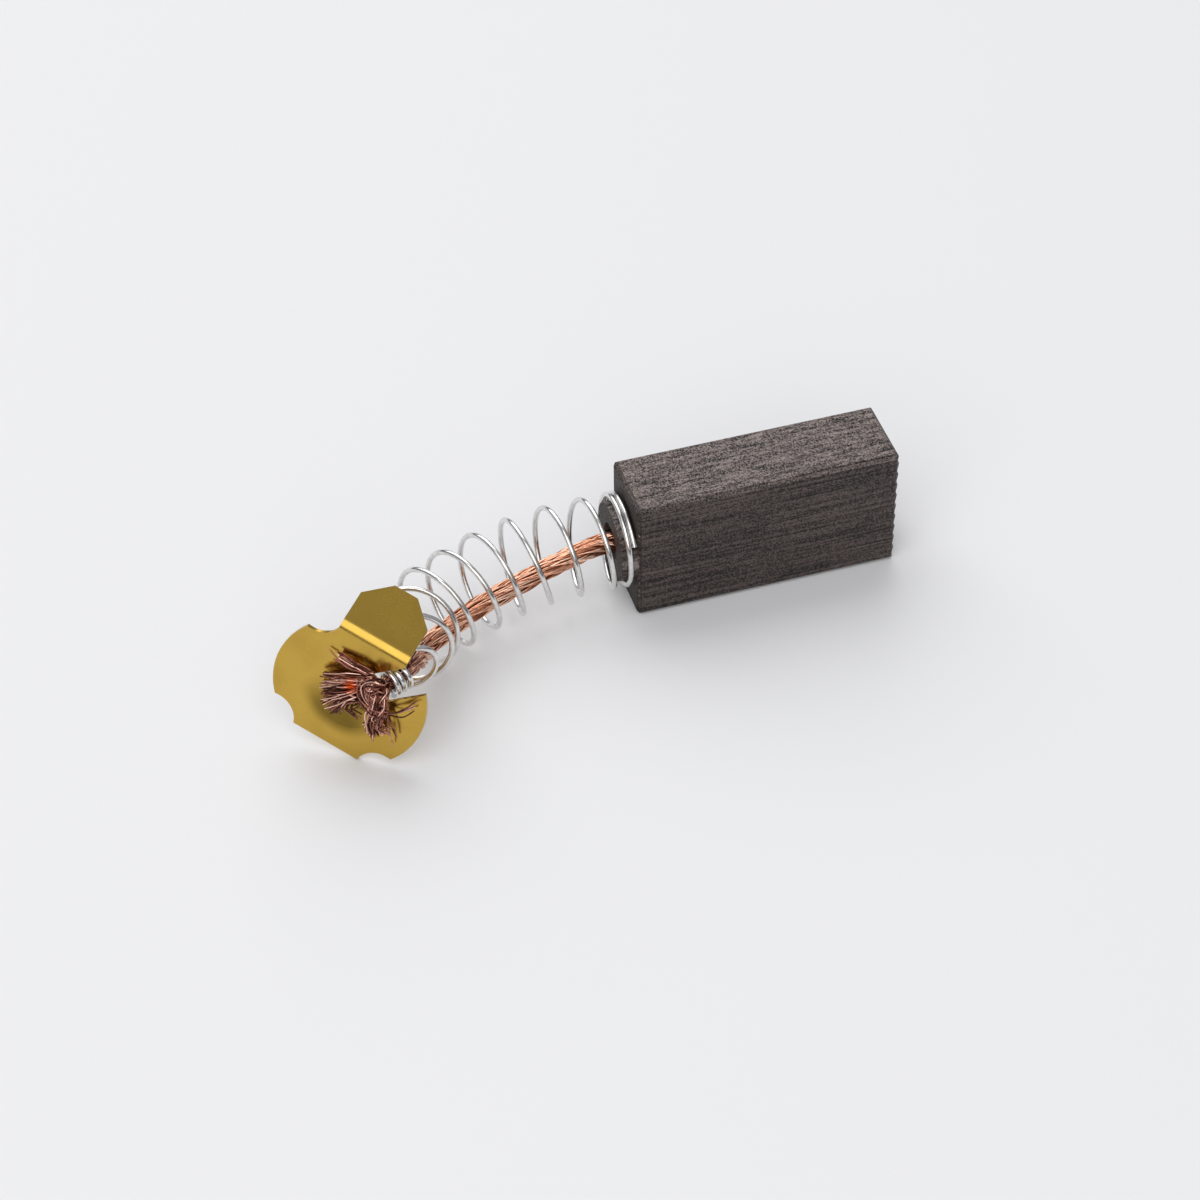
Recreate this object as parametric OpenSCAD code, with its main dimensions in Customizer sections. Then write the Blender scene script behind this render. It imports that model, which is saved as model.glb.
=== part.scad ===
// Carbon brush for a small electric motor: a carbon-graphite block, a copper
// shunt tamped into its back, a compression spring round the shunt, and a
// stamped brass terminal cap with a bent ear, on which the shunt ends fray out.
// +X runs along the block to its wear face, +Z is up, and the origin is the
// centre of the block's bottom face, on which the brush lies.

/* [Carbon block] */
// Length along the feed direction, from the spring end to the wear face
block_len = 20; // [14:0.5:30]
// Thickness across the block
block_thick = 6; // [5:0.1:8]
// Height of the block
block_high = 10.2; // [9:0.1:12]
// Chamfer on the block's edges
edge_chamfer = 0.3; // [0.1:0.05:0.6]
// Diameter of the round boss that the spring sits on
boss_dia = 5.9; // [5.2:0.05:5.95]
// Length of the boss
boss_long = 1.15; // [0.8:0.05:1.4]
// Number of grooves across the wear face
groove_count = 10; // [6:1:10]
// Depth of one groove
groove_deep = 0.16; // [0.08:0.02:0.22]

/* [Shunt] */
// Diameter of the copper rope
shunt_dia = 1.7; // [1.3:0.1:1.8]
// Depth of the hole that the rope is tamped into
socket_deep = 6; // [4:0.5:8]
// Wall of tamped copper powder round the rope
tamp_wall = 0.6; // [0.4:0.1:0.9]
// Depth that the tamped powder lies below the boss's face
tamp_sunk = 0.6; // [0.3:0.1:0.9]

/* [Spring] */
// Wire diameter
wire_dia = 0.4; // [0.3:0.02:0.42]
// Mean diameter of the open turns
coil_dia = 6.75; // [6.3:0.05:6.9]
// Mean diameter of the closed turns that grip the rope in the slot
grip_dia = 1.8; // [1.7:0.02:1.84]
// Closed turns on the block
seat_turns = 1.5; // [1:0.1:2.5]
// Open turns at full diameter
open_turns = 6.5; // [5:0.1:8]
// Distance from one open turn to the next
open_lead = 2.55; // [2.4:0.05:2.6]
// Turns over which the spring narrows
cone_turns = 2.8; // [2:0.1:3.5]
// Closed turns on the rope
grip_turns = 3; // [2:0.1:3.4]

/* [Terminal cap] */
// Diameter of the disc
cap_dia = 11.34; // [10.8:0.02:11.8]
// Thickness of the brass sheet
sheet = 0.3; // [0.2:0.05:0.35]
// Distance from the disc's centre to the start of the ear's bend
fold_at = 4.35; // [4:0.05:4.6]
// Distance from the disc's centre to the flat opposite the ear
flat_at = 4.7; // [4.4:0.05:5]
// Width of the ear
ear_wide = 5.3; // [4.6:0.1:5.6]
// Length of the flat of the ear beyond its bend
ear_long = 4; // [3.4:0.1:5]
// Chamfer on each of the ear's two corners
ear_chamfer = 1.75; // [1:0.05:2]
// Angle that the ear is bent back from the disc
ear_bend = 62; // [50:1:75]
// Radius of the bend on its inner side
bend_in = 0.6; // [0.4:0.05:0.8]
// Radius of the four notches in the rim
notch_r = 1.75; // [1.5:0.05:1.9]
// Width of the slot that the rope passes through
slot_wide = 2.3; // [2.2:0.05:2.5]
// Diameter of the dished middle of the disc
dish_dia = 5.6; // [4.6:0.1:6]
// Depth of the dished middle
dish_deep = 0.25; // [0.2:0.05:0.4]

/* [Set of the cap] */
// Distance from the block's spring end to the cap's centre, along the block
cap_reach = 23; // [22:0.1:24]
// Distance from the block's middle plane to the cap's centre
cap_side = 9.3; // [8.8:0.1:9.8]
// Direction that the cap's face looks to, round from +X
cap_heading = 235; // [232:1:238]
// Angle that the cap's face looks up
cap_lean = 13.7; // [12:0.1:15]
// Turn of the ear from upright
cap_roll = 21.2; // [18:0.2:24]

/* [Hidden] */

$fn = 64;
eps = 0.01;
shunt_r = shunt_dia / 2;
wire_r = wire_dia / 2;
back_x = -block_len / 2;
mouth = [back_x, 0, block_high / 2];

// The cap's own axes: across, up to the ear, and out of its face.
cap_across = cap_turn([1, 0, 0]);
cap_up = cap_turn([0, 1, 0]);
cap_out = cap_turn([0, 0, 1]);

// The four notches start just outside the ear's sides.
notch_v = fold_at + 0.6;
notch_u = ear_wide / 2 + 0.02 + sqrt(notch_r ^ 2 - (notch_v - fold_at) ^ 2);
slot_at = 2.75;

// The cap stands on the corner between its flat and a notch.
foot_u = notch_u - sqrt(notch_r ^ 2 - (notch_v - flat_at) ^ 2);
foot = [for (z = [0, -sheet]) foot_u * cap_across.z - flat_at * cap_up.z + z * cap_out.z];
cap_mid = [back_x - cap_reach, -cap_side, 0.02 - min(foot)];

// Turn a direction from the cap's own axes into the part's.
function spin_z(p, a) = [p.x * cos(a) - p.y * sin(a), p.x * sin(a) + p.y * cos(a), p.z];
function spin_y(p, a) = [p.x * cos(a) + p.z * sin(a), p.y, p.z * cos(a) - p.x * sin(a)];
function cap_turn(p) = spin_z(spin_y(spin_z(p, 90 - cap_roll), 90 - cap_lean), cap_heading);

// A point given in the cap's own axes, from the middle of its face.
function on_cap(p) = cap_mid + p.x * cap_across + p.y * cap_up + p.z * cap_out;

// Smooth curve through a list of points.
function ends(p) = concat([2 * p[0] - p[1]], p, [2 * p[len(p) - 1] - p[len(p) - 2]]);
function bow(a, b, c, d, t) =
    (2 * b + (c - a) * t + (2 * a - 5 * b + 4 * c - d) * t ^ 2 + (3 * b - a - 3 * c + d) * t ^ 3) / 2;
function smooth(p, n) = let (q = ends(p))
    [for (i = [1:len(q) - 3], j = [0:i < len(q) - 3 ? n - 1 : n]) bow(q[i - 1], q[i], q[i + 1], q[i + 2], j / n)];
function unit(v) = v / norm(v);
function heading(p, i) = unit(p[min(i + 1, len(p) - 1)] - p[max(i - 1, 0)]);

// Distances along a curve, and the point at a given distance.
function run(p, i = 0, s = 0) = i == len(p) - 1 ? [s] : concat([s], run(p, i + 1, s + norm(p[i + 1] - p[i])));
function track(p) = let (s = run(p)) [for (k = [0:2]) [for (i = [0:len(p) - 1]) [s[i], p[i][k]]]];
function at(track, s) = [for (k = [0:2]) lookup(s, track[k])];

// A solid through rings of points, each ring with the same count.
module skin(rings) {
    n = len(rings[0]);
    last = len(rings) - 1;
    points = [for (ring = rings, p = ring) p];
    sides = [for (i = [0:last - 1], j = [0:n - 1])
        let (a = i * n + j, b = i * n + (j + 1) % n)
        each [[a, b, b + n], [a, b + n, a + n]]];
    low_end = [for (j = [0:n - 1]) n - 1 - j];
    high_end = [for (j = [0:n - 1]) last * n + j];
    polyhedron(points, concat([low_end], sides, [high_end]), convexity = 12);
}

// Ring of a round or oval section: wide along one axis, deep along the other.
function oval(c, wide_axis, deep_axis, wide, deep, n) =
    [for (j = [0:n - 1]) c + wide * cos(360 * j / n) * wide_axis + deep * sin(360 * j / n) * deep_axis];

// --- Carbon block -----------------------------------------------------------

pitch = block_high / groove_count;
wave_steps = 8;

module chamfered(x, y) {
    c = edge_chamfer;
    polygon([
        [c, 0], [x - c, 0], [x, c], [x, y - c],
        [x - c, y], [c, y], [0, y - c], [0, c]
    ]);
}

// Side view of what is cut away in front of the wear face, which runs in even waves.
module beyond_wear_face() {
    front = -back_x;
    polygon(concat(
        [[front + 1, -pitch]],
        [for (i = [-wave_steps:wave_steps * (groove_count + 1)])
            [front - eps - groove_deep * (1 - cos(360 * i / wave_steps)) / 2, i * pitch / wave_steps]],
        [[front + 1, block_high + pitch]]
    ));
}

module carbon_block() {
    color([0.22, 0.21, 0.21])
    difference() {
        union() {
            translate([back_x, -block_thick / 2, 0])
            intersection() {
                linear_extrude(block_high) chamfered(block_len, block_thick);
                translate([0, block_thick, 0]) rotate([90, 0, 0])
                    linear_extrude(block_thick) chamfered(block_len, block_high);
                rotate([90, 0, 90]) linear_extrude(block_len) chamfered(block_thick, block_high);
            }
            translate([back_x - boss_long, 0, mouth.z]) rotate([0, 90, 0])
                cylinder(h = boss_long + 1, d = boss_dia);
        }
        translate([back_x - boss_long - eps, 0, mouth.z]) rotate([0, 90, 0])
            cylinder(h = boss_long + socket_deep + eps, r = shunt_r + tamp_wall);
        rotate([90, 0, 0]) linear_extrude(2 * block_thick, center = true) beyond_wear_face();
    }
}

// --- Copper powder tamped round the rope ------------------------------------

module tamped_copper() {
    powder_long = boss_long - tamp_sunk + socket_deep;
    color([0.45, 0.27, 0.20])
    translate([back_x - boss_long + tamp_sunk, 0, mouth.z]) rotate([0, 90, 0])
    difference() {
        cylinder(h = powder_long, r = shunt_r + tamp_wall);
        translate([0, 0, -eps]) cylinder(h = powder_long - 1 + eps, r = shunt_r + 2 * eps);
    }
}

// --- Shunt: the rope, and the bundles that it frays into ---------------------

// The closed turns of the spring grip the rope between these places, the last of them in the slot.
grip_foot = [2.6, 2.6, -1.45];
grip_head = [2.04, 2.04, -0.45];

rope_sides = 14;
rope_route = [
    mouth + [socket_deep - 1, 0, 0],
    mouth + [2, 0, 0],
    mouth + [-boss_long, 0, 0],
    mouth + [-3.4, -0.25, -0.15],
    mouth + [-7.4, -0.9, -0.9],
    mouth + [-11.6, -2.0, -1.6],
    mouth + [-15.1, -3.6, -2.0],
    mouth + [-16.7, -5.1, -1.75],
    on_cap([2.8, 2.75, -2.9]),
    on_cap(grip_foot),
    on_cap(grip_head),
    on_cap([1.8, 1.8, 0.3]),
    on_cap([1.5, 1.6, 0.95])
];

// Each bundle: its route over the cap's face, and its width and depth at both ends.
main_bundle = [[[1.9, 1.9, 0.75], [0.9, 1.4, 0.85], [-0.3, 0.8, 0.8], [-1.5, 0.2, 0.75]], [0.8, 0.75], [1.65, 0.6]];
upper_bundle = [[[1.7, 2.3, 0.8], [0.6, 2.8, 0.85], [-0.8, 3.0, 0.8], [-2.2, 3.0, 0.8]], [0.45, 0.4], [0.35, 0.3]];
lower_bundle = [[[2.1, 1.5, 0.7], [2.4, 0.5, 0.75], [2.7, -0.6, 0.65], [3.0, -1.8, 0.5]], [0.6, 0.55], [0.65, 0.4]];

// The closed turns squeeze the rope, from the last place before them on.
rope_steps = 5;
squeeze_from = rope_steps * (len(rope_route) - 6);
squeeze_over = 1.6 * rope_steps;
gripped_r = min(shunt_r, grip_dia / 2 - wire_r - 0.1);
function rope_r(i) = shunt_r + (gripped_r - shunt_r) * max(0, min(1, (i - squeeze_from) / squeeze_over));

module rope() {
    curve = smooth(rope_route, rope_steps);
    skin([for (i = [0:len(curve) - 1])
        let (t = heading(curve, i), side = unit(cross(t, [0, 0, 1])))
        oval(curve[i], side, cross(side, t), rope_r(i), rope_r(i), rope_sides)]);
}

module bundle(b) {
    curve = smooth([for (p = b[0]) on_cap(p)], 3);
    last = len(curve) - 1;
    skin([for (i = [0:last])
        let (side = unit(cross(heading(curve, i), cap_out)), size = b[1] + (b[2] - b[1]) * i / last)
        oval(curve[i], side, cross(side, heading(curve, i)), size.x, size.y, rope_sides)]);
}

module shunt() {
    color([0.72, 0.42, 0.30]) {
        rope();
        for (b = [main_bundle, upper_bundle, lower_bundle]) bundle(b);
    }
}

// --- Spring -------------------------------------------------------------------

wire_sides = 8;
wire_steps = 22;
spring_axis = [
    mouth + [0, 0, 0.1],
    mouth + [-5.7, 0, 0.1],
    mouth + [-10.1, -0.35, -0.45],
    mouth + [-14.7, -2.1, -0.7],
    mouth + [-16.9, -3.5, -0.65],
    on_cap([2.1, 2.2, -4.6]),
    on_cap([2.85, 2.75, -2.75]),
    on_cap(grip_foot),
    on_cap(grip_head)
];
axis_curve = smooth(spring_axis, 12);
axis_track = track(axis_curve);
axis_len = run(axis_curve)[len(axis_curve) - 1];

// Distance along the axis at each turn: closed, open, narrowing, closed again.
lead = wire_dia * 1.05;
open_from = wire_r + 0.02 + lead * seat_turns;
grip_from = axis_len - lead * grip_turns;
cone_from = open_from + open_lead * open_turns;
turn_a = seat_turns;
turn_b = turn_a + open_turns;
turn_c = turn_b + cone_turns;
turn_d = turn_c + grip_turns;

function ease(t) = t * t * (3 - 2 * t);
function travel(k) =
    k < turn_a ? wire_r + 0.02 + lead * k :
    k < turn_b ? open_from + open_lead * (k - turn_a) :
    k < turn_c ? let (t = (k - turn_b) / cone_turns)
        cone_from + (grip_from - cone_from) * (1.25 * t - 0.25 * t * t) :
    grip_from + lead * (k - turn_c);
function coil_r(k) = (coil_dia + (grip_dia - coil_dia) * ease(max(0, min(1, (k - turn_b) / cone_turns)) ^ 1.2)) / 2;

// The wire is wound right-handed, and its first end lies at the front of the block.
wire_from = 300;
function radial(k) = let (
        s = travel(k),
        t = unit(at(axis_track, s + 0.2) - at(axis_track, s - 0.2)),
        side = unit(cross(t, [0, 0, 1])),
        a = wire_from + 360 * k)
    cos(a) * cross(side, t) + sin(a) * side;
function wire_at(k) = at(axis_track, travel(k)) + coil_r(k) * radial(k);

module spring() {
    count = ceil(turn_d * wire_steps);
    color([0.80, 0.80, 0.79])
    skin([for (i = [0:count])
        let (
            k = turn_d * i / count,
            t = unit(wire_at(min(k + 0.01, turn_d)) - wire_at(max(k - 0.01, 0))),
            out = unit(radial(k) - (radial(k) * t) * t))
        oval(wire_at(k), out, cross(t, out), wire_r, wire_r, wire_sides)]);
}

// --- Terminal cap -------------------------------------------------------------

module cap_outline() {
    far = cap_dia;
    difference() {
        circle(d = cap_dia, $fn = 120);
        for (u = [-1, 1], v = [-1, 1]) translate([u * notch_u, v * notch_v]) circle(notch_r);
        translate([-far / 2, fold_at]) square([far, far]);
        translate([-far / 2, -flat_at - far]) square([far, far]);
    }
}

module slot() {
    deep = sheet + dish_deep + 0.2;
    translate([0, 0, -deep]) linear_extrude(deep + 1) rotate(45) translate([slot_at, 0]) {
        circle(d = slot_wide);
        translate([0, -slot_wide / 2]) square([cap_dia, slot_wide]);
    }
}

// Side view of the bent sheet: it starts inside the disc, rounds the bend and ends at the ear's tip.
bend_steps = 12;
function bend_arc(r) = [for (i = [0:bend_steps])
    let (a = ear_bend * i / bend_steps) [fold_at + r * sin(a), r * cos(a) - sheet - bend_in]];

module ear_side() {
    outer = bend_arc(bend_in + sheet);
    inner = bend_arc(bend_in);
    tip = ear_long * [cos(ear_bend), -sin(ear_bend)];
    root = fold_at - 0.6;
    polygon(concat(
        [[root, -sheet], [root, 0]], outer, [outer[bend_steps] + tip, inner[bend_steps] + tip],
        [for (i = [bend_steps:-1:0]) inner[i]]
    ));
}

module ear() {
    cut = 3 * ear_chamfer;
    difference() {
        rotate([90, 0, 90]) translate([0, 0, -ear_wide / 2]) linear_extrude(ear_wide) ear_side();
        translate([0, fold_at, -sheet - bend_in]) rotate([-ear_bend, 0, 0])
            for (side = [0, 1]) mirror([side, 0, 0])
                translate([ear_wide / 2, ear_long, bend_in - sheet]) rotate([0, 0, 45])
                    translate([-ear_chamfer / sqrt(2), -cut / 2, 0]) cube([cut, cut, 3 * sheet]);
    }
}

module dish(grow) {
    dish_r = (dish_dia ^ 2 / 4 + dish_deep ^ 2) / (2 * dish_deep);
    translate([0, 0, dish_r - dish_deep]) rotate([90, 0, 0]) sphere(dish_r + grow, $fn = 180);
}

module terminal_cap() {
    color([0.80, 0.65, 0.30])
    translate(cap_mid) rotate([0, 0, cap_heading]) rotate([0, 90 - cap_lean, 0]) rotate([0, 0, 90 - cap_roll])
    difference() {
        union() {
            translate([0, 0, -sheet]) linear_extrude(sheet) cap_outline();
            intersection() {
                dish(sheet);
                translate([0, 0, -2 * sheet - dish_deep]) cylinder(h = 1.5 * sheet + dish_deep, d = dish_dia + 1);
            }
            ear();
        }
        dish(0);
        slot();
    }
}

carbon_block();
tamped_copper();
shunt();
spring();
terminal_cap();
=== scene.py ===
import random
from bisect import bisect_right
from math import cos, pi, radians, sin, sqrt

import bmesh
import bpy
from mathutils import Matrix, Vector


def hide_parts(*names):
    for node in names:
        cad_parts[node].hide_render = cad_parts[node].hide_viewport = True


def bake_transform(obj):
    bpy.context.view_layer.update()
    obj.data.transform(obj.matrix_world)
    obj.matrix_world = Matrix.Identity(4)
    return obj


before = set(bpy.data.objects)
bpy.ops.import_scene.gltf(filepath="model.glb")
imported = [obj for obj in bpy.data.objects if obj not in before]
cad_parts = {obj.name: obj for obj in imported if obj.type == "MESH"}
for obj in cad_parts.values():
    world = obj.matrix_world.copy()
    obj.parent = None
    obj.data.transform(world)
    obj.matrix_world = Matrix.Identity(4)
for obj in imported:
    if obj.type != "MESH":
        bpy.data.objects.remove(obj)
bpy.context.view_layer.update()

# Camera, floor and light. The brush is seen from above its front side, on a
# plain pale table, under a grey room with a soft lamp at the left in front and
# a wide soft lamp behind, which shines on the tops.
mm = 0.001
looking_at, camera_away = Vector((-12.14, -0.51, 0)), 235.6
heading, dip, tilt = radians(16.73), radians(43.81), radians(-0.84)
look = Vector((sin(heading) * cos(dip), cos(heading) * cos(dip), -sin(dip)))
camera = bpy.data.objects.new("camera", bpy.data.cameras.new("camera"))
camera.data.lens = 96.1
camera.data.clip_start = 0.005
camera.matrix_world = (
    Matrix.Translation((looking_at - look * camera_away) * mm)
    @ Matrix.Rotation(-heading, 4, "Z")
    @ Matrix.Rotation(pi / 2 - dip, 4, "X")
    @ Matrix.Rotation(tilt, 4, "Z")
)
bpy.context.collection.objects.link(camera)
bpy.context.scene.camera = camera
bpy.context.scene.view_settings.view_transform = "Standard"


def nodes_in(tree):
    """Two makers for a node tree: add, which makes a node, and feed, which fills an input."""

    def feed(socket, value):
        """Fill an input with a plain value, an output, or the first output of a node."""
        if isinstance(value, bpy.types.Node):
            value = next(output for output in value.outputs if output.enabled)
        if isinstance(value, bpy.types.NodeSocket):
            tree.links.new(value, socket)
        else:
            socket.default_value = value

    def add(kind, *feeds, **named):
        """A node. Feeds fill the inputs it uses, in order; named values an input or a setting."""
        made = tree.nodes.new("ShaderNode" + kind)
        for name, value in named.items():
            if name not in made.inputs:
                setattr(made, name, value)
        for socket, value in zip([socket for socket in made.inputs if socket.enabled], feeds):
            feed(socket, value)
        for name, value in named.items():
            if name in made.inputs:
                feed(made.inputs[name], value)
        return made

    return add, feed


def finish(name, roughness, metallic=0.0):
    """A new material, the maker of its nodes, and what sets its surface."""
    material = bpy.data.materials.new(name)
    material.use_nodes = True
    shader = material.node_tree.nodes["Principled BSDF"]
    add, feed = nodes_in(material.node_tree)

    def surface(name, value):
        feed(shader.inputs[name], value)

    surface("Roughness", roughness)
    surface("Metallic", metallic)
    return material, add, surface


table_grey = (0.80, 0.80, 0.81, 1)
floor_mesh = bpy.data.meshes.new("floor")
bm = bmesh.new()
bmesh.ops.create_grid(bm, x_segments=1, y_segments=1, size=1.2)
bm.to_mesh(floor_mesh)
bm.free()
floor = bpy.data.objects.new("floor", floor_mesh)
bpy.context.collection.objects.link(floor)
pale, _, surface = finish("pale_table", 0.9)
surface("Base Color", table_grey)
surface("Specular IOR Level", 0.1)
floor_mesh.materials.append(pale)

# The room is dim low down and grey above, which gives the metals their dark
# lines. The camera sees the table's grey all round.
room = bpy.data.worlds.new("room")
room.use_nodes = True
bpy.context.scene.world = room
add, feed = nodes_in(room.node_tree)
upward = add("SeparateXYZ", add("TexCoord").outputs["Generated"])
grey = add("MapRange", upward.outputs["Z"], 0.06, 0.38, 0.05, 0.37)
cool_grey = add("VectorMath", (0.99, 1.0, 1.03), operation="SCALE", Scale=grey)
seen = add("LightPath").outputs["Is Camera Ray"]
backdrop = add("Mix", seen, cool_grey, table_grey, data_type="RGBA")
feed(room.node_tree.nodes["Background"].inputs["Color"], backdrop)


def soft_lamp(name, way, distance, size, power):
    """A square lamp that shines on the brush from the given direction."""
    lamp = bpy.data.objects.new(name, bpy.data.lights.new(name, "AREA"))
    lamp.data.size = size
    lamp.data.energy = power
    way = Vector(way).normalized()
    over_brush = Vector((-0.012, 0, 0))
    turn = way.to_track_quat("Z", "Y").to_matrix().to_4x4()
    lamp.matrix_world = Matrix.Translation(way * distance + over_brush) @ turn
    bpy.context.collection.objects.link(lamp)


soft_lamp("lamp_front", way=(-0.36, -0.62, 0.80), distance=0.7, size=0.80, power=3.1)
soft_lamp("lamp_back", way=(-0.05, 0.68, 0.75), distance=0.8, size=0.90, power=4.6)

# Carbon block. A sawn and ground stick of carbon-graphite: grainy and dark, with
# fine saw lines along its sides, coarser grinding marks on top, and a wear face
# turned in even waves. Its top carries a painted sheen, its spring end painted
# shade, and its worn edges a painted highlight.
block_long, block_thick, block_high = 20, 6, 10.2


def two_tone(add, amount, low_at, low, high_at, high):
    """A colour that goes from low to high as the amount goes from low_at to high_at."""
    made = add("ValToRGB", amount)
    for stop, at, colour in zip(made.color_ramp.elements, (low_at, high_at), (low, high)):
        stop.position = at
        stop.color = (*colour, 1)
    return made


def dress(node, material):
    """Give a piece that comes from the CAD this material alone."""
    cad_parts[node].data.materials.clear()
    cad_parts[node].data.materials.append(material)


carbon, add, surface = finish("carbon", 0.5)
surface("Specular IOR Level", 0.3)
coordinates = add("TexCoord")
place = coordinates.outputs["Object"]
# Saw lines run along the block, so their noise is stretched along X. Grinding
# marks cross the top at a slant.
along_block = add("Mapping", place, Scale=(80, 1000, 5000))
lines = add("TexNoise", along_block, Scale=1.0, Detail=5.0, Roughness=0.7)
slanted = add("Mapping", place, Rotation=(0, 0, radians(-20)), Scale=(450, 3600, 400))
marks = add("TexNoise", slanted, Scale=1.0, Detail=5.0, Roughness=0.7)
grain = add("TexNoise", place, Scale=8200.0, Detail=2.0, Roughness=0.8)
chips = add("TexNoise", place, Scale=2600.0, Detail=4.0, Roughness=0.7)
facing = add("SeparateXYZ", coordinates.outputs["Normal"])
on_top = add("MapRange", facing.outputs["Z"], 0.55, 0.9)
streaks = add("Mix", on_top, lines, marks, data_type="FLOAT")
grainy = add("MapRange", on_top, 0.0, 1.0, 0.49, 0.60)
texture = add("Mix", grainy, streaks, grain, data_type="FLOAT")
# The top is painted far lighter than the sides: partly its ground finish, mostly a painted sheen
# from the light above.
side_tone = two_tone(add, texture, 0.44, (0.004, 0.0025, 0.002), 0.58, (0.130, 0.100, 0.088))
sheen_painted_top_tone = two_tone(add, texture, 0.44, (0.008, 0.006, 0.005), 0.60, (0.350, 0.287, 0.268))
tone = add("Mix", on_top, side_tone, sheen_painted_top_tone, data_type="RGBA")
# The spring end is painted darker than the sawn sides, as painted shade.
on_end = add("MapRange", facing.outputs["X"], -0.5, -0.9)
painted_end_shade = (0.30, 0.22, 0.17, 1)
tone_with_end_shade = add("Mix", on_end, tone, painted_end_shade, data_type="RGBA", blend_type="MULTIPLY")
# Edges are rubbed and chipped, and lightened with a painted highlight. There a
# point is close to two of the block's faces, so the middle one of its three
# distances to them is small.
spot = add("SeparateXYZ", place)
across = add("Math", spot.outputs["Y"], operation="ABSOLUTE")
from_side = add("Math", block_thick / 2 * mm, across, operation="SUBTRACT")
along = add("Math", spot.outputs["X"], operation="ABSOLUTE")
from_end = add("Math", block_long / 2 * mm, along, operation="SUBTRACT")
from_top = add("Math", block_high * mm, spot.outputs["Z"], operation="SUBTRACT")
nearer = add("Math", from_side, from_end, operation="MINIMUM")
farther = add("Math", from_side, from_end, operation="MAXIMUM")
farther_or_top = add("Math", farther, from_top, operation="MINIMUM")
from_edge = add("Math", nearer, farther_or_top, operation="MAXIMUM")
chip_deep = 0.7 * mm
ragged = add("Math", chips, -chip_deep, from_edge, operation="MULTIPLY_ADD")
rubbed_and_highlit = add("MapRange", ragged, -0.25 * mm, -0.34 * mm, 0.0, 0.75)
rubbed_highlight_grey = (0.38, 0.32, 0.29, 1)
surface("Base Color", add("Mix", rubbed_and_highlit, tone_with_end_shade, rubbed_highlight_grey, data_type="RGBA"))
surface("Roughness", add("MapRange", grain, 0.35, 0.65, 0.65, 0.40))
line_bump = add("Bump", Strength=0.6, Distance=0.08 * mm, Height=streaks)
surface("Normal", add("Bump", Strength=0.8, Distance=0.10 * mm, Height=grain, Normal=line_bump))
dress("carbon_block", carbon)

# Tamped copper. Powder pressed round the rope in the block's hole: a dull, sandy
# brown ring that holds the rope and carries the current to the carbon.
powder, add, surface = finish("copper_powder", 0.8, 0.3)
sand = add("TexNoise", add("TexCoord").outputs["Object"], Scale=6500.0, Detail=3.0, Roughness=0.6)
surface("Base Color", two_tone(add, sand, 0.35, (0.060, 0.030, 0.022), 0.70, (0.30, 0.14, 0.09)))
surface("Normal", add("Bump", Strength=0.8, Distance=0.06 * mm, Height=sand))
dress("tamped_copper", powder)

# Terminal cap. One stamping of thin brass sheet: a disc with four notches and a
# slot, dished in the middle, with an ear bent back. Rolled smooth, with faint
# scratches and a few dull stains; a brown crescent on the dish is painted
# reflection and shade of the strands.
cap_reach, cap_side = 23, 9.3
cap_heading, cap_lean, cap_roll = 235, 13.7, 21.2
sheet, ear_wide, fold_at, flat_at, notch_r = 0.3, 5.3, 4.35, 4.7, 1.75
cap_turn = (
    Matrix.Rotation(radians(cap_heading), 3, "Z")
    @ Matrix.Rotation(radians(90 - cap_lean), 3, "Y")
    @ Matrix.Rotation(radians(90 - cap_roll), 3, "Z")
)
cap_across, cap_up, cap_out = cap_turn.col[0], cap_turn.col[1], cap_turn.col[2]
notch_rise, notch_gap, off_table = 0.6, 0.02, 0.02
notch_u = ear_wide / 2 + notch_gap + sqrt(notch_r**2 - notch_rise**2)
# The cap stands on the corner between its flat and a notch.
foot_u = notch_u - sqrt(notch_r**2 - (fold_at + notch_rise - flat_at) ** 2)
foot_z = min(foot_u * cap_across.z - flat_at * cap_up.z - z * cap_out.z for z in (0, sheet))
cap_mid = Vector((-block_long / 2 - cap_reach, -cap_side, off_table - foot_z))


def on_cap(u, v, h):
    """A point in the cap's own axes: across, up to the ear, and out of its face."""
    return cap_mid + u * cap_across + v * cap_up + h * cap_out


brass, add, surface = finish("brass", 0.24, 1.0)
place = add("TexCoord").outputs["Object"]
rolling = radians(20), radians(35), radians(50)
rolled = add("Mapping", place, Rotation=rolling, Scale=(350, 5200, 350))
scratch = add("TexNoise", rolled, Scale=1.0, Detail=3.0, Roughness=0.6)
cloud = add("TexNoise", place, Scale=420.0, Detail=4.0, Roughness=0.6)
gold = two_tone(add, cloud, 0.30, (0.53, 0.342, 0.064), 0.62, (0.58, 0.376, 0.072))
# A brown crescent is painted on the dish beside the strands, as painted
# reflection and shade of the strands: it lies within the dish and near a place
# at its lower side.
from_middle = add("VectorMath", place, on_cap(0, 0, 0) * mm, operation="DISTANCE")
in_dish = add("MapRange", from_middle, 3.8 * mm, 2.7 * mm, interpolation_type="SMOOTHSTEP")
from_low_side = add("VectorMath", place, on_cap(-0.2, -2.7, 0) * mm, operation="DISTANCE")
low_down = add(
    "MapRange", from_low_side, 4.0 * mm, 1.2 * mm, 0.0, 0.72, interpolation_type="SMOOTHSTEP"
)
painted_reflection = add("Math", in_dish, low_down, operation="MULTIPLY")
painted_reflection_brown = (0.12, 0.078, 0.014, 1)
surface("Base Color", add("Mix", painted_reflection, gold, painted_reflection_brown, data_type="RGBA"))
surface("Roughness", add("MapRange", cloud, 0.35, 0.7, 0.29, 0.21))
surface("Normal", add("Bump", Strength=0.03, Distance=0.02 * mm, Height=scratch))
dress("terminal_cap", brass)

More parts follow.
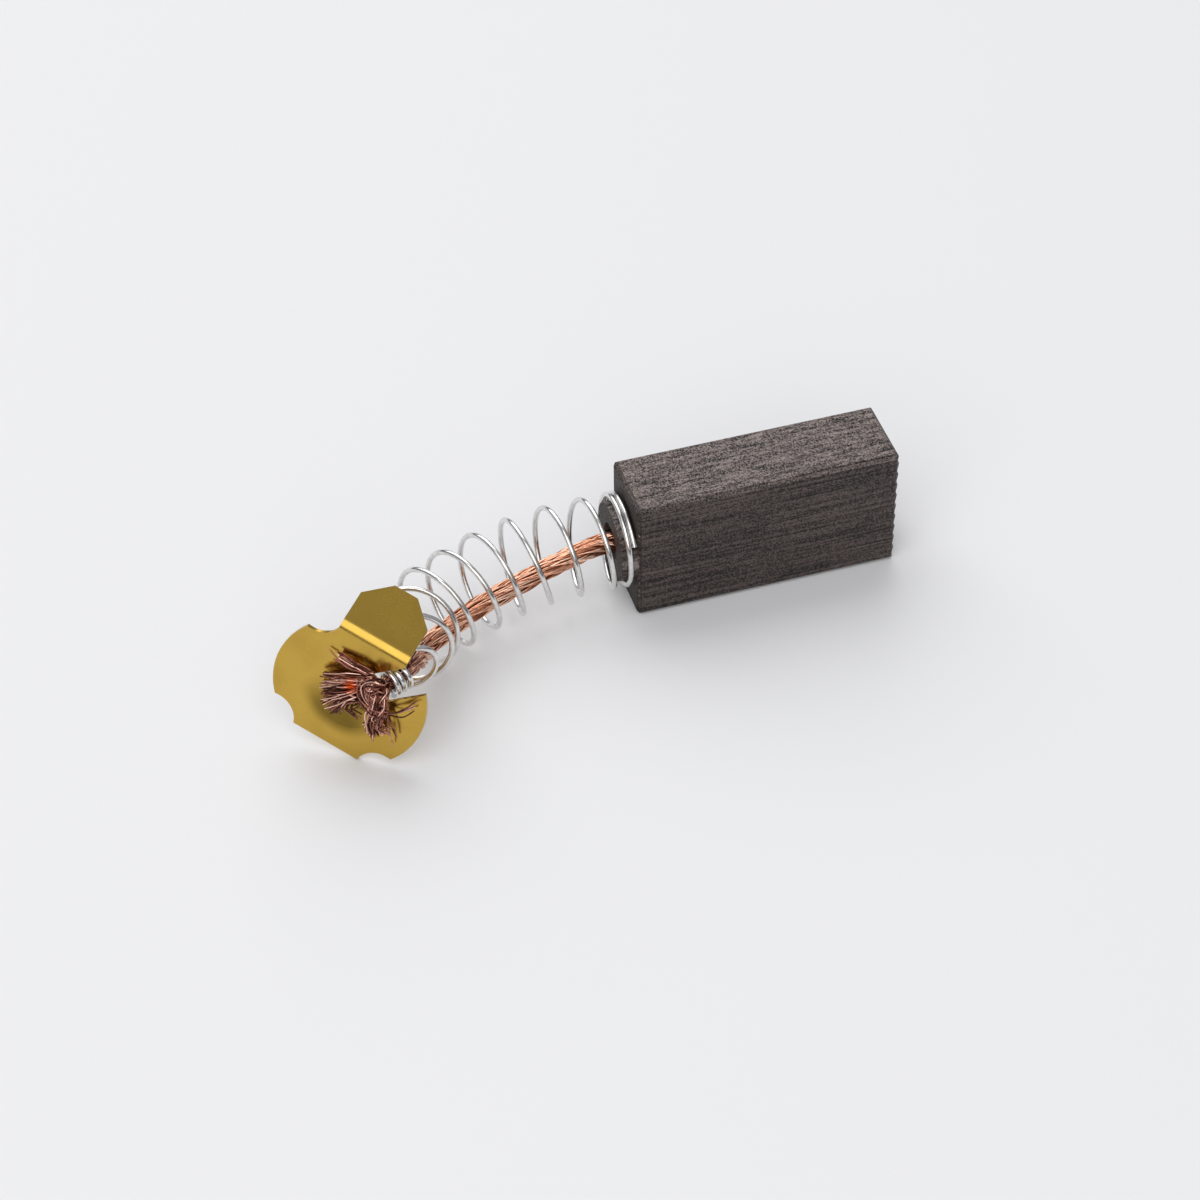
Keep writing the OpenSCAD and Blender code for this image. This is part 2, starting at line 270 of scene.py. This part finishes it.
# Shunt. A flexible rope of six bunches of fine copper strands laid round a core,
# tamped into the block, led through the spring and the cap's slot, and frayed
# out over the cap's face, where heat has turned the strands dull and purple.
mouth = Vector((-block_long / 2, 0, block_high / 2))
grip_foot, grip_head = (2.6, 2.6, -1.45), (2.04, 2.04, -0.45)
rope_route = [
    mouth + Vector((5, 0, 0)),
    mouth + Vector((2, 0, 0)),
    mouth + Vector((-1.15, 0, 0)),
    mouth + Vector((-3.4, -0.25, -0.15)),
    mouth + Vector((-7.4, -0.9, -0.9)),
    mouth + Vector((-11.6, -2.0, -1.6)),
    mouth + Vector((-15.1, -3.6, -2.0)),
    mouth + Vector((-16.7, -5.1, -1.75)),
    on_cap(2.8, 2.75, -2.9),
    on_cap(*grip_foot),
    on_cap(*grip_head),
    on_cap(1.8, 1.8, 0.3),
    on_cap(1.5, 1.6, 0.95),
]


def smooth(points, steps):
    """A smooth curve through the points."""
    held = [2 * points[0] - points[1]] + points + [2 * points[-1] - points[-2]]
    curve = []
    for a, b, c, d in zip(held, held[1:], held[2:], held[3:]):
        second, third = 2 * a - 5 * b + 4 * c - d, 3 * b - a - 3 * c + d
        for i in range(steps):
            t = i / steps
            curve.append((2 * b + (c - a) * t + second * t**2 + third * t**3) / 2)
    curve.append(points[-1])
    return curve


def travel_along(curve):
    """The curve's length, and its point, and its side and top, at a distance along it."""
    marks = [0.0]
    for a, b in zip(curve, curve[1:]):
        marks.append(marks[-1] + (b - a).length)

    def point(s):
        i = min(max(bisect_right(marks, s), 1), len(marks) - 1)
        return curve[i - 1].lerp(curve[i], (s - marks[i - 1]) / (marks[i] - marks[i - 1]))

    def axes(s):
        near = 0.2
        ahead = (point(s + near) - point(s - near)).normalized()
        side = ahead.cross(Vector((0, 0, 1))).normalized()
        return side, side.cross(ahead)

    return marks[-1], point, axes


def wires(name, thick, sides, materials):
    """An empty curve for round wires of one thickness."""
    data = bpy.data.curves.new(name, "CURVE")
    for material in materials:
        data.materials.append(material)
    data.dimensions = "3D"
    data.bevel_depth = thick / 2 * mm
    data.bevel_resolution = sides // 2 - 2
    data.use_fill_caps = True
    return data


def lay_wire(data, points, material_index=0):
    """One wire along the points, which are in millimetres."""
    spline = data.splines.new("POLY")
    spline.points.add(len(points) - 1)
    spline.points.foreach_set("co", [x for p in points for x in (*(p * mm), 1)])
    spline.material_index = material_index


def made_mesh(name, data):
    """The wires as one mesh object."""
    drawn = bpy.data.objects.new(name + "_line", data)
    bpy.context.collection.objects.link(drawn)
    finished = drawn.evaluated_get(bpy.context.evaluated_depsgraph_get())
    mesh = bpy.data.meshes.new_from_object(finished)
    bpy.data.objects.remove(drawn)
    mesh.polygons.foreach_set("use_smooth", [True] * len(mesh.polygons))
    made = bpy.data.objects.new(name, mesh)
    bpy.context.collection.objects.link(made)
    return made


def copper(name, bright, burnt, roughness):
    """Copper that is bright along the rope and burnt near the cap."""
    material, add, surface = finish(name, roughness, 1.0)
    place = add("TexCoord").outputs["Object"]
    from_fray = add("VectorMath", place, on_cap(0.3, 1.0, 0.4) * mm, operation="DISTANCE")
    away = add("MapRange", from_fray, 3.7 * mm, 5.4 * mm)
    patch = add("TexNoise", place, Scale=3200.0, Detail=2.0, Roughness=0.6)
    patchy = add("MapRange", patch, 0.35, 0.65, -0.40, 0.30)
    clean = add("Math", away, patchy, operation="ADD", use_clamp=True)
    colour = add("Mix", clean, (*burnt, 1), (*bright, 1), data_type="RGBA")
    # Orange-red flux left between the strands, in two spots of these widths.
    flux_red = (0.60, 0.085, 0.015, 1)
    for spot, wide in ((on_cap(-0.02, 1.31, 0.9), 0.75), (on_cap(1.6, 2.1, 0.5), 0.6)):
        from_spot = add("VectorMath", place, spot * mm, operation="DISTANCE")
        stain = add("MapRange", from_spot, wide * mm, wide * 0.35 * mm)
        colour = add("Mix", stain, colour, flux_red, data_type="RGBA")
    surface("Base Color", colour)
    return material


coppers = [
    copper("copper_bright", (0.98, 0.66, 0.49), (0.90, 0.55, 0.44), 0.17),
    copper("copper_plain", (0.97, 0.53, 0.35), (0.30, 0.115, 0.09), 0.20),
    copper("copper_dull", (0.58, 0.24, 0.135), (0.07, 0.022, 0.018), 0.25),
    # The bunches' cores are painted near black: painted shade in the gaps between the strands.
    copper("copper_core_shade", (0.14, 0.050, 0.028), (0.028, 0.010, 0.010), 0.6),
]

# The bunches lie bunch_at from the rope's middle, and their outer strands bunch_r
# from the bunch's own. A lay is the length of one full twist. The spring's closed
# turns squeeze the rope by a part of its thickness, from grip_start on.
strand, core = 0.11, 0.36
bunches, strands_each = 6, 12
bunch_at, bunch_r = 0.51, 0.225
rope_lay, bunch_lay = 11.5, 9.0
squeeze = 0.30
core_step, strand_step, strands_from = 0.5, 0.36, 4.0
rope_len, rope_point, rope_axes = travel_along(smooth(rope_route, 16))
rope_end = rope_len - 1.5
grip_start, grip_full = rope_len - 5.4, rope_len - 3.4
draw = random.Random(7)
shunt_wires = wires("shunt_wires", strand, 6, coppers[:3])
shunt_cores = wires("shunt_cores", core, 8, coppers[3:])


def in_rope(s, bunch, ring, turn, wander):
    """A strand's place at a distance along the rope, a little uneven as it wanders.

    The bunches twist one way round the rope, and the strands the other in a bunch.
    """
    side, top = rope_axes(s)
    tight = 1 - squeeze * min(max((s - grip_start) / (grip_full - grip_start), 0), 1)
    round_rope = 2 * pi * (bunch / bunches + s / rope_lay)
    centre = rope_point(s) + tight * bunch_at * (cos(round_rope) * top + sin(round_rope) * side)
    own = turn - 2 * pi * s / bunch_lay + 0.25 * sin(s * 1.3 + wander)
    uneven = 1 + 0.08 * sin(s * 2.1 + 2 * wander)
    return centre + tight * ring * uneven * (cos(own) * top + sin(own) * side)


def flat_places(*places):
    """Places on the cap's face, given across it and up it."""
    return [Vector((u, v, 0)) for u, v in places]


# Where the strands end on the cap's face, and the hairs with their height over it.
main_ends = flat_places((-2.4, 0.9), (-2.1, -0.2), (-1.6, -1.0), (-0.9, -1.7), (-0.3, -1.8))
upper_ends = flat_places((-1.9, 2.2), (-1.9, 2.9))
lower_ends = flat_places((1.9, -1.3), (2.9, -2.3), (3.2, -1.5), (3.9, -0.7))
hair_ends = [
    Vector((4.6, 2.3, 0.5)),
    Vector((4.5, 2.8, 0.5)),
    Vector((4.6, 1.8, 0.4)),
    Vector((4.4, -1.8, 0.25)),
    Vector((4.4, -1.0, 0.3)),
    Vector((-2.6, 2.6, 0.2)),
]


def spread(ends, p):
    """A place along the line of ends, p from 0 to 1."""
    p = p * (len(ends) - 1)
    i = min(int(p), len(ends) - 2)
    return ends[i].lerp(ends[i + 1], p - i)


def drawn_within(u, v, h):
    """A vector drawn at random within its limits across the cap, up it and off its face."""
    return Vector((draw.uniform(*u), draw.uniform(*v), draw.uniform(*h)))


def loose(way, r):
    """The same places, each a little out of line."""
    moved = []
    for w in way:
        du, dv, dh = draw.uniform(-r, r), draw.uniform(-r, r), draw.uniform(-r, r)
        moved.append(w + Vector((du, dv, dh * 0.5)))
    return moved


def fray(kind, last, p):
    """The strand's own way over the face, from where it leaves the rope."""
    if kind == "main":
        # The fan to one side, which is highest in its middle.
        crown = 0.8 * sqrt(max(1 - (2 * p - 1) ** 2, 0))
        end = spread(main_ends, p)
        end += drawn_within((-0.05, 0.45), (-0.1, 0.1), (0.15, 0.4 + 0.7 * crown))
        way = loose([
            Vector((1.5, 2.3 - 1.2 * p, draw.uniform(0.2, 0.5 + 0.5 * crown))),
            Vector((0.7 + 0.3 * p, 2.4 - 2.1 * p, draw.uniform(0.4, 0.7 + 0.6 * crown))),
            Vector((-0.3 + 0.5 * p, 1.9 - 2.2 * p, draw.uniform(0.3, 0.6 + 0.8 * crown))),
        ], 0.22)
        way.append(way[-1].lerp(end, 0.5) + Vector((0, 0, draw.uniform(0, 0.25))))
        way.append(end)
    elif kind == "upper":
        # The band above the fan.
        end = spread(upper_ends, p) + drawn_within((-0.1, 0.5), (-0.1, 0.1), (0.15, 0.5))
        way = [Vector((1.5, 2.3, 0.3)), Vector((0.9, 2.8, 0.5)), Vector((0.1, 2.4 + 0.6 * p, 0.55))]
        way = loose(way, 0.17) + [end]
    elif kind == "lower":
        # The bunch that hangs down.
        end = spread(lower_ends, p) + drawn_within((-0.15, 0.15), (-0.2, 0.3), (0.2, 0.6))
        way = loose([
            Vector((1.9 + 0.5 * p, 2.2, draw.uniform(0.5, 1.0))),
            Vector((1.9 + 0.9 * p, 1.2, draw.uniform(0.7, 1.4))),
            Vector((1.8 + 1.1 * p, 0.2, draw.uniform(0.5, 1.3))),
            Vector((1.9 + 1.3 * p, -0.7, draw.uniform(0.3, 0.9))),
        ], 0.28) + [end]
    elif kind == "curl":
        # A long strand that bows out and comes back towards the slot.
        size = draw.uniform(0.5, 1.4)
        middle = drawn_within((1.9, 2.5), (1.6, 2.2), (0.8, 1.25))
        turned = draw.uniform(-0.5, 0.3)
        bow = [t + turned for t in (1.2, 0.4, -0.4, -1.2, -2.0)]
        way = loose([middle + size * Vector((-1.2 * cos(t), sin(t), 0.1)) for t in bow], 0.12)
    elif kind == "stray":
        # A strand that has come out between the fan and the bunch below.
        way = [Vector((1.2, 0.9, 0.7)), Vector((0.9, 0.1, 0.6))]
        way += [Vector((0.4, -0.8, 0.5)), Vector((1.3, -0.9, 0.5))]
        way = loose(way, 0.3)
    else:
        # A single hair, which ends far out.
        end = hair_ends[int(p * len(hair_ends))]
        if end.x > 0:
            way = [Vector((2.3, 1.2, 0.8)), Vector((2.9, 0.6, 0.6))]
        else:
            way = [Vector((2.3, 1.2, 0.8)), Vector((0.5, 2.6, 0.7))]
        halfway = way[-1].lerp(end, 0.5) + Vector((0.2, -0.2, 0.1))
        way = loose(way + [halfway], 0.15) + [end]
    # The curve starts along the rope, and only what follows its last point is new.
    steps = 5
    return smooth([last[-2], last[-1]] + [on_cap(*w) for w in way], steps)[steps + 1:]


# The outer strands of the bunches, by where they fray to. The numbers in
# seen_coppers and hidden_coppers are places in the list of coppers.
seen_coppers, hidden_coppers = (0, 0, 1, 1, 1, 2), (0, 1, 1, 2)
outer = {"main": 36, "upper": 10, "lower": 18, "curl": 8}
kinds = [kind for kind, many in outer.items() for _ in range(many)]
draw.shuffle(kinds)
laid = dict.fromkeys(outer, 0)
strand_steps = int(rope_end / strand_step)
for bunch in range(bunches):
    core_steps = int(rope_end / core_step)
    lay_wire(shunt_cores, [in_rope(k * core_step, bunch, 0, 0, 0) for k in range(core_steps + 1)])
    for i in range(strands_each):
        kind = kinds[bunch * strands_each + i]
        wander = draw.uniform(0, 6)
        ring = bunch_r * draw.uniform(0.86, 1.04)
        turn = 2 * pi * i / strands_each
        path = []
        for k in range(strand_steps + 1):
            s = strands_from + (rope_end - strands_from) * k / strand_steps
            path.append(in_rope(s, bunch, ring, turn, wander))
        path += fray(kind, path, (laid[kind] + 0.5) / outer[kind])
        laid[kind] += 1
        lay_wire(shunt_wires, path, draw.choice(seen_coppers))
# More strands from the rope's core show only where it opens.
inner = {"main": 30, "upper": 4, "lower": 20, "curl": 16, "stray": 5, "hair": 8}
for kind, many in inner.items():
    for i in range(many):
        shift = drawn_within((-0.3, 0.3), (-0.3, 0.3), (-0.3, 0.3))
        start = [rope_point(rope_end - 1.0) + shift, rope_point(rope_end) + shift]
        path = start + fray(kind, start, (i + 0.5) / many)
        lay_wire(shunt_wires, path, draw.choice(hidden_coppers))

shunt_core = made_mesh("shunt_core", shunt_cores)
shunt = made_mesh("shunt_rope", shunt_wires)
for made in (shunt, shunt_core):
    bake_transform(made)
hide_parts("shunt")

# Spring. Round steel wire wound right-handed: closed turns on the block, open
# turns, then turns that narrow and close on the rope just behind the cap.
spring_axis = [
    mouth + Vector((0, 0, 0.1)),
    mouth + Vector((-5.7, 0, 0.1)),
    mouth + Vector((-10.1, -0.35, -0.45)),
    mouth + Vector((-14.7, -2.1, -0.7)),
    mouth + Vector((-16.9, -3.5, -0.65)),
    on_cap(2.1, 2.2, -4.6),
    on_cap(2.85, 2.75, -2.75),
    on_cap(*grip_foot),
    on_cap(*grip_head),
]
wire, coil, grip = 0.4, 6.75, 1.8
first_turn_at = radians(300)
# The turns at which the closed seat, the open turns, the cone and the grip end.
seat_to, open_to, cone_to, grip_to = 1.5, 8.0, 10.8, 13.8
axis_len, axis_point, axis_sides = travel_along(smooth(spring_axis, 24))
lead, open_lead = wire * 1.05, 2.55
seat_gap = 0.02
seat_from = wire / 2 + seat_gap
open_from = seat_from + lead * seat_to
cone_from = open_from + open_lead * (open_to - seat_to)
grip_from = axis_len - lead * (grip_to - cone_to)


def coil_point(k):
    """The wire's middle after k turns. In the cone the turns also come closer together."""
    narrow = min(max((k - open_to) / (cone_to - open_to), 0), 1)
    if k < seat_to:
        s = seat_from + lead * k
    elif k < open_to:
        s = open_from + open_lead * (k - seat_to)
    elif k < cone_to:
        s = cone_from + (grip_from - cone_from) * (1.25 * narrow - 0.25 * narrow**2)
    else:
        s = grip_from + lead * (k - cone_to)
    waist = narrow**1.2
    radius = (coil + (grip - coil) * waist**2 * (3 - 2 * waist)) / 2
    side, top = axis_sides(s)
    angle = first_turn_at + 2 * pi * k
    return axis_point(s) + radius * (cos(angle) * top + sin(angle) * side)


steel, add, surface = finish("spring_wire", 0.22, 1.0)
place = add("TexCoord").outputs["Object"]
drawing = add("TexNoise", place, Scale=2600.0, Detail=3.0, Roughness=0.6)
surface("Base Color", two_tone(add, drawing, 0.3, (0.66, 0.65, 0.64), 0.65, (0.80, 0.79, 0.78)))
surface("Roughness", add("MapRange", drawing, 0.0, 1.0, 0.26, 0.15))

spring_line = wires("spring_line", wire, 16, [steel])
spring_steps = 560
lay_wire(spring_line, [coil_point(grip_to * i / spring_steps) for i in range(spring_steps + 1)])
spring = made_mesh("spring_coil", spring_line)
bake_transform(spring)
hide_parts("spring")
